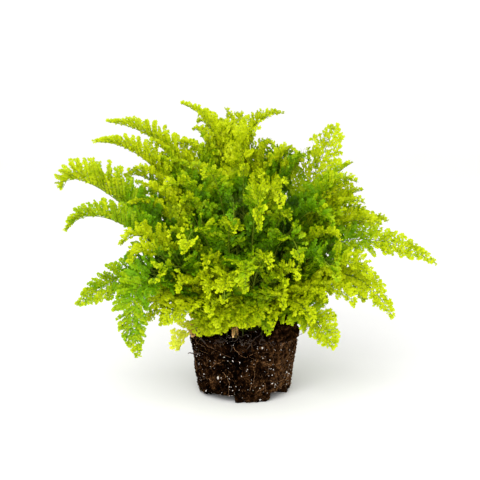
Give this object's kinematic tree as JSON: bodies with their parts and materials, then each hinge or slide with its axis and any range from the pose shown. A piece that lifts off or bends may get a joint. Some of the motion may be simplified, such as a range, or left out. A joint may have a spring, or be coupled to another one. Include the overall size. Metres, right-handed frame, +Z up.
{
  "type": "fern with root ball",
  "caption": "Bushy ruffled fern lifted out of its pot: arching fronds of small leaflets over a pot-shaped ball of soil and roots, for standing in a planter.",
  "frame": {"origin": "middle of the root ball's flat underside, on the table", "axes": "+Z up; +X towards the plant's right as seen from its front, the way its longest frond reaches; +Y towards its back"},
  "size_m": [0.3799, 0.2861, 0.2991],
  "materials": {
    "soil": "crumbly peat with roots and white grains, matt",
    "green_leaf": "soft live leaf, slightly waxy",
    "yellow_leaf": "ageing leaf, matt",
    "dry_leaf": "dried, matt"
  },
  "bodies": {
    "root": {"root_ball": "soil", "frond_left_crest": "green_leaf", "frond_left_hook": "green_leaf", "frond_left_high": "green_leaf", "frond_left_upper": "green_leaf", "frond_left_low": "green_leaf", "frond_left_hanging": "green_leaf", "frond_left_skirt": "green_leaf", "frond_left_inner": "green_leaf", "frond_left_side": "green_leaf", "frond_top_left": "green_leaf", "frond_top_right": "green_leaf", "frond_top_back": "green_leaf", "frond_top_crown": "green_leaf", "frond_top_behind": "green_leaf", "frond_top_shoulder": "green_leaf", "frond_right_back": "green_leaf", "frond_right_plume": "green_leaf", "frond_right_upper": "green_leaf", "frond_right_edge": "green_leaf", "frond_right_middle": "green_leaf", "frond_right_long": "green_leaf", "frond_right_low": "green_leaf", "frond_right_hanging": "green_leaf", "frond_right_skirt": "green_leaf", "frond_right_side": "green_leaf", "frond_right_inner": "green_leaf", "frond_front_curtain": "green_leaf", "frond_front_upper": "green_leaf", "frond_front_diagonal": "green_leaf", "frond_front_low": "green_leaf", "frond_front_middle": "green_leaf", "frond_front_right": "green_leaf", "frond_right_arch": "green_leaf", "frond_left_arch": "green_leaf", "frond_right_fan": "green_leaf", "frond_left_fan": "green_leaf", "frond_right_crown": "green_leaf", "frond_left_crown": "green_leaf", "frond_rim_left": "green_leaf", "frond_rim_middle": "green_leaf", "frond_rim_right": "green_leaf", "frond_back_1": "green_leaf", "frond_back_2": "green_leaf", "frond_back_3": "green_leaf", "frond_back_4": "green_leaf", "frond_back_5": "green_leaf", "frond_back_6": "green_leaf", "frond_back_7": "green_leaf", "frond_back_8": "green_leaf", "frond_back_9": "green_leaf", "frond_back_10": "green_leaf", "frond_back_11": "green_leaf", "frond_back_12": "green_leaf", "yellow_frond": "yellow_leaf", "dry_frond_left": "dry_leaf", "dry_frond_front": "dry_leaf"}
  },
  "joints": []
}
